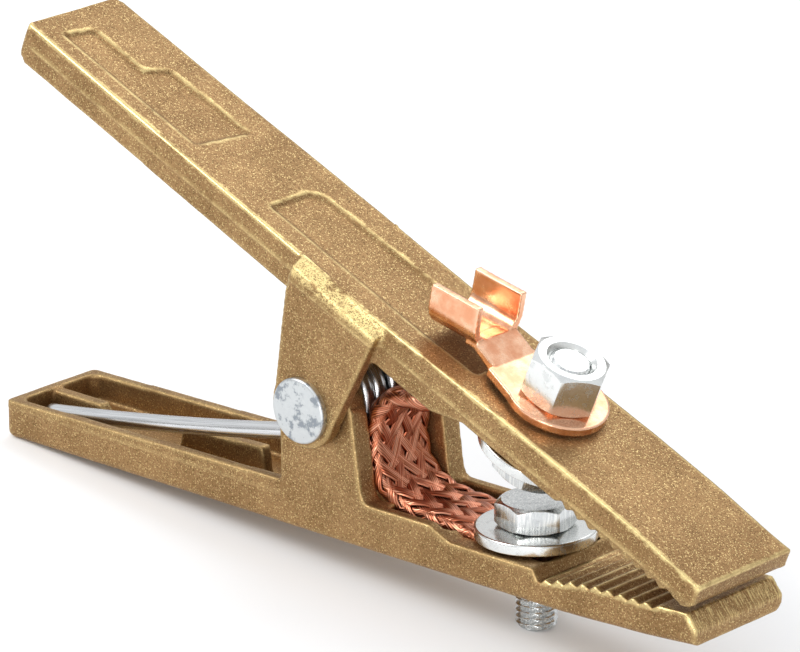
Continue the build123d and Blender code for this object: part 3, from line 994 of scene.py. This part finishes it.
@dataclass
class Braid:
    """A flat copper braid: a pressed tube of wire bundles that wind both ways over a core darkened with painted
    shade.
    """

    bundles: int = 12
    wires: int = 6
    half_width: float = 9.2
    half_thickness: float = 2.0
    end_width: float = 9.4
    end_thickness: float = 0.75
    lay_length: float = 76.0
    bundle_width: float = 3.4
    weave: float = 0.40
    core_inset: float = 0.5
    core_columns: int = 48
    # how much painted shade darkens the core
    core_shade: float = 0.6
    blend_reach: float = 7.0
    rows: int = 150

    ROUTE = ((168, 8.4), (161, 8.4), (154, 8.5), (146.5, 9.0), (138.5, 9.2), (130.0, 9.6),
             (122.8, 11.8), (118.4, 17.0), (117.2, 23.6), (118.4, 30.2), (121.8, 36.0), (127.8, 37.8),
             (134.5, 37.4), (141.0, 41.6), (148.6, 40.6), (158, 36.3), (166, 32.8), (170, 31.1))

    def centre_line(self) -> np.ndarray:
        """The route as an even cubic B-spline through its control points, as (x, z) rows."""
        route = np.array(self.ROUTE, float)
        route = np.concatenate([[2 * route[0] - route[1]], route, [2 * route[-1] - route[-2]]])
        t = np.linspace(0, len(route) - 3 - 1e-9, 1200)
        k = t.astype(int)
        f = (t - k)[:, None]
        p0, p1, p2, p3 = (route[k + j] for j in range(4))
        points = ((1 - f) ** 3 * p0 + (3 * f ** 3 - 6 * f ** 2 + 4) * p1
                  + (-3 * f ** 3 + 3 * f ** 2 + 3 * f + 1) * p2 + f ** 3 * p3) / 6
        run = np.concatenate([[0], np.cumsum(np.linalg.norm(np.diff(points, axis=0), axis=1))])
        even = np.linspace(0, run[-1], self.rows)
        return np.stack([np.interp(even, run, points[:, j]) for j in (0, 1)] + [even], axis=-1)

    def section(self, place: np.ndarray, width: np.ndarray, thickness: np.ndarray) -> tuple:
        """A point on a flattened tube's section, and the outward direction there.

        The section is two straight faces joined by half circles, and place runs once round it from 0 to 1.

        Args:
            place: where round the section, in turns.
            width: the section's half width.
            thickness: its half thickness.

        Returns:
            The point's y and height, and the outward direction's y and height.
        """
        flat = width - thickness
        arc = pi * thickness
        total = 4 * flat + 2 * arc
        run = (place % 1.0) * total
        over = run < 2 * flat
        right = (run >= 2 * flat) & (run < 2 * flat + arc)
        under = (run >= 2 * flat + arc) & (run < 4 * flat + arc)
        bend_right = (run - 2 * flat) / thickness
        bend_left = (run - 4 * flat - arc) / thickness
        y = np.select([over, right, under], [run - flat, flat + thickness * np.sin(bend_right),
                                             3 * flat + arc - run], -flat - thickness * np.sin(bend_left))
        height = np.select([over, right, under], [thickness, thickness * np.cos(bend_right), -thickness],
                           -thickness * np.cos(bend_left))
        out_y = np.select([over, right, under], [0, np.sin(bend_right), 0], -np.sin(bend_left))
        out_height = np.select([over, right, under], [1, np.cos(bend_right), -1], -np.cos(bend_left))
        return y, height, out_y, out_height

    def placed(self, line: np.ndarray, heading: np.ndarray, y: np.ndarray, height: np.ndarray) -> np.ndarray:
        """The points of a grid of widths and heights square to the route, one row to each of its places."""
        x = line[:, 0][:, None] - heading[:, 1][:, None] * height
        z = line[:, 1][:, None] + heading[:, 0][:, None] * height
        return np.stack([x, y, z], axis=-1)

    def build(self) -> None:
        """Makes each bundle as a ridged ribbon round the core."""
        line = self.centre_line()
        run = line[:, 2]
        heading = np.gradient(line[:, :2], axis=0)
        heading /= np.linalg.norm(heading, axis=1)[:, None]
        start_end = np.minimum(run, run[-1] - run)
        loose = smoothstep(16, 28, start_end)
        width = self.end_width + (self.half_width - self.end_width) * loose
        thickness = self.end_thickness + (self.half_thickness - self.end_thickness) * loose
        across = np.linspace(-0.5, 0.5, 3 * self.wires + 1)
        ridge = abs(np.sin(pi * self.wires * (across + 0.5)))
        dome = np.sqrt(np.clip(1 - (2.05 * across) ** 2, 0, 1))
        top = 0.42 * dome + 0.13 * ridge - 0.12
        profile_across = np.concatenate([across, across[::-4][1:-1]])
        profile_top = np.concatenate([top, np.full(len(across[::-4][1:-1]), -0.28)])
        # painted shade in the grooves between the wires and under each bundle
        wire_gap_shade = np.concatenate([1 - ridge, np.ones(len(across[::-4][1:-1]))])
        perimeter = 4 * (width - thickness) + 2 * pi * thickness
        rng = np.random.default_rng(11)
        points, faces, lanes, runs, numbers, wire_gap_shades = [], [], [], [], [], []
        for way in (1, -1):
            for k in range(self.bundles):
                sway = np.sin(run / 9.0 + rng.uniform(0, 6)) * 0.010 + rng.normal(0, 0.004)
                spin = way * run / self.lay_length
                place = k / self.bundles + spin + sway * loose
                crossing = 2 * k * way + 2 * self.bundles * run / self.lay_length
                lift = way * self.weave * np.cos(pi / 2 * crossing + pi / 4)
                spread = self.bundle_width * rng.uniform(0.9, 1.08)
                where = place[:, None] + profile_across[None] * spread / perimeter[:, None]
                y, height, out_y, out_height = self.section(where, width[:, None], thickness[:, None])
                out = profile_top[None] + lift[:, None] * (0.35 + 0.65 * loose[:, None])
                y, height = y + out * out_y, height + out * out_height
                grid = self.placed(line, heading, y, height)
                count = len(profile_across)
                base = sum(len(p) for p in points)
                ends = np.stack([grid[0].mean(0), grid[-1].mean(0)])
                points.append(np.concatenate([grid.reshape(-1, 3), ends]))
                own = grid_faces(self.rows, count, False)[:, ::-1 * way].tolist()
                last = (self.rows - 1) * count
                for first, centre in ((0, self.rows * count), (last, self.rows * count + 1)):
                    own += [[first + j, first + (j + 1) % count, centre] for j in range(count)]
                faces += [[base + j for j in face] for face in own]
                lanes.append(np.append(np.tile((profile_across + 0.5) * self.wires, self.rows), [0, 0]))
                runs.append(np.append(np.repeat(run, count), [0, run[-1]]))
                wire_gap_shades.append(np.append(np.tile(wire_gap_shade, self.rows), [1, 1]))
                numbers.append(np.full(len(points[-1]), k + self.bundles * (way > 0)))
        turn = np.linspace(0, 1, self.core_columns, endpoint=False) + np.zeros((self.rows, 1))
        inner = (width[:, None] - self.core_inset, thickness[:, None] - self.core_inset)
        base = sum(len(p) for p in points)
        points.append(self.placed(line, heading, *self.section(turn, *inner)[:2]).reshape(-1, 3))
        faces += (grid_faces(self.rows, self.core_columns, False) + base).tolist()
        lanes.append(turn.ravel() * 4 * self.bundles * self.wires)
        runs.append(np.repeat(run, self.core_columns))
        # painted shade on the core
        wire_gap_shades.append(np.full(turn.size, self.core_shade))
        numbers.append(np.full(turn.size, 2.0 * self.bundles))
        piece = add_object("copper_braid", LOWER.to_row(np.concatenate(points)), faces, crease=75)
        for name, values in (("across", lanes), ("along", runs), ("wire_gap_shade", wire_gap_shades), ("bundle", numbers)):
            set_float(piece, name, np.concatenate(values))
        dress(piece, "braid_strap", BraidCopper().make())
        lean = (LOWER.up + UPPER.up) / np.linalg.norm(LOWER.up + UPPER.up)
        hinge = np.array([PIVOT[0], 0, PIVOT[1]])
        middle = LOWER.to_row(hinge + [13, 0, -3.5])
        reach = lean * self.blend_reach * MM
        tuple(middle - reach)
        tuple(middle + reach)
        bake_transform(piece)


# ---- lug ----


@dataclass
class CableLug:
    """The stamped copper lug: its designed shape with soft sheet edges."""

    voxel: float = 0.32
    softening: int = 14

    def build(self) -> None:
        """Makes and dresses the lug."""
        relief = Relief(remeshed(merged_copy("cable_lug", UPPER), self.voxel))
        relief.relax(self.softening)
        bulge = relief.bulge(3)
        noise = LatticeNoise(5)
        relief.push(0.10 * (noise.at(relief.points, 6.0) - 0.5))
        piece = relief.finish("crimp_lug", UPPER)
        set_float(piece, "bright_edges", smoothstep(0.015, 0.06, bulge))
        dress(piece, "cable_lug", LugCopper().make())
        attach(piece, "upper")


def dress(piece: bpy.types.Object, node: str, finish: bpy.types.Material) -> None:
    """Gives a piece its finish, hides the CAD node it stands for, and logs which node that is."""
    piece.data.materials.append(finish)
    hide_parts(node)
    LOG.info("%s: %d faces, stands for %s", piece.name, len(piece.data.polygons), node)


# ---- studio ----


@dataclass
class Viewpoint:
    """The camera: a long lens above and to the right of the clamp, slightly rolled."""

    azimuth: float = 41.479
    elevation: float = 21.976
    roll: float = 2.893
    distance: float = 1.35664
    aim: tuple = (0.0002, 0.00455, 0.05812)
    lens: float = 260.0

    def build(self) -> None:
        """Adds the camera and makes it the scene's."""
        az, el, roll = (radians(v) for v in (self.azimuth, self.elevation, self.roll))
        back = Vector((sin(az) * cos(el), -cos(az) * cos(el), sin(el)))
        level = (-back).cross(Vector((0, 0, 1))).normalized()
        upright = level.cross(-back)
        right = level * cos(roll) + upright * sin(roll)
        up = upright * cos(roll) - level * sin(roll)
        data = bpy.data.cameras.new("camera")
        data.lens, data.sensor_width = self.lens, 36.0
        data.clip_start, data.clip_end = 0.05, 20.0
        camera = linked("camera", data)
        turn = Matrix((right, up, back)).transposed().to_4x4()
        camera.matrix_world = Matrix.Translation(Vector(self.aim) + back * self.distance) @ turn
        bpy.context.scene.camera = camera


@dataclass
class Studio:
    """A pale floor, an even white surround with a dimmer band near the horizon, and soft lamps."""

    floor_size: float = 3.0
    aim: tuple = (0, 0, 0.04)

    def lamp(self, name: str, place: tuple, size: float, power: float) -> None:
        """A square soft lamp that faces the clamp."""
        data = bpy.data.lights.new(name, "AREA")
        data.size, data.energy = size, power
        lamp = linked(name, data)
        lamp.location = place
        lamp.rotation_euler = (Vector(self.aim) - Vector(place)).to_track_quat("-Z", "Y").to_euler()

    def floor(self) -> None:
        """The floor, under the object."""
        half = self.floor_size
        mesh = bpy.data.meshes.new("floor")
        corners = [(-half, -half, 0), (half, -half, 0), (half, half, 0), (-half, half, 0)]
        mesh.from_pydata(corners, [], [(0, 1, 2, 3)])
        floor = linked("floor", mesh)
        paint = Paint("floor")
        paint.fix(Base_Color=(0.93, 0.93, 0.93, 1), Roughness=0.9)
        mesh.materials.append(paint.material)

    def surround(self) -> None:
        """The world: dim at the horizon, bright overhead, and plain white where the camera sees it."""
        world = bpy.data.worlds.new("surround")
        world.use_nodes = True
        bpy.context.scene.world = world
        tree = world.node_tree
        nodes, links = tree.nodes, tree.links
        nodes.clear()
        where = nodes.new("ShaderNodeTexCoord")
        split = nodes.new("ShaderNodeSeparateXYZ")
        ramp = nodes.new("ShaderNodeValToRGB")
        ramp.color_ramp.elements[0].position, ramp.color_ramp.elements[0].color = 0.0, (0.22, 0.21, 0.20, 1)
        ramp.color_ramp.elements[1].position, ramp.color_ramp.elements[1].color = 0.75, (0.95, 0.97, 1.0, 1)
        middle = ramp.color_ramp.elements.new(0.22)
        middle.color = (0.80, 0.80, 0.80, 1)
        plain = nodes.new("ShaderNodeBackground")
        seen = nodes.new("ShaderNodeBackground")
        seen.inputs["Color"].default_value = (1, 1, 1, 1)
        path = nodes.new("ShaderNodeLightPath")
        choose = nodes.new("ShaderNodeMixShader")
        out = nodes.new("ShaderNodeOutputWorld")
        links.new(where.outputs["Generated"], split.inputs[0])
        links.new(split.outputs["Z"], ramp.inputs[0])
        links.new(ramp.outputs[0], plain.inputs["Color"])
        links.new(path.outputs["Is Camera Ray"], choose.inputs[0])
        links.new(plain.outputs[0], choose.inputs[1])
        links.new(seen.outputs[0], choose.inputs[2])
        links.new(choose.outputs[0], out.inputs[0])

    def build(self) -> None:
        """Sets the floor, the surround, the lamps and the plain colour transform."""
        self.floor()
        self.surround()
        self.lamp("key", (-0.65, -0.80, 0.95), 0.6, 7.5)
        self.lamp("top", (-0.30, 0.75, 1.0), 0.7, 2.6)
        self.lamp("fill", (0.55, -0.85, 0.22), 0.4, 3.2)
        bpy.context.scene.view_settings.view_transform = "Standard"


def main() -> None:
    """Builds the clamp from the frame outwards, then its studio."""
    logging.basicConfig(level=logging.INFO, format="%(message)s")
    brass = CastBrass().make()
    for casting, body in ((LowerCasting("lower_arm", LOWER, 21), "lower"),
                          (UpperCasting("upper_arm", UPPER, 34), "upper")):
        piece = casting.build()
        dress(piece, casting.node, brass)
        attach(piece, body)
    Hardware().build()
    Spring().build()
    Braid().build()
    CableLug().build()
    Studio().build()
    Viewpoint().build()


if __name__ == "__main__":
    main()
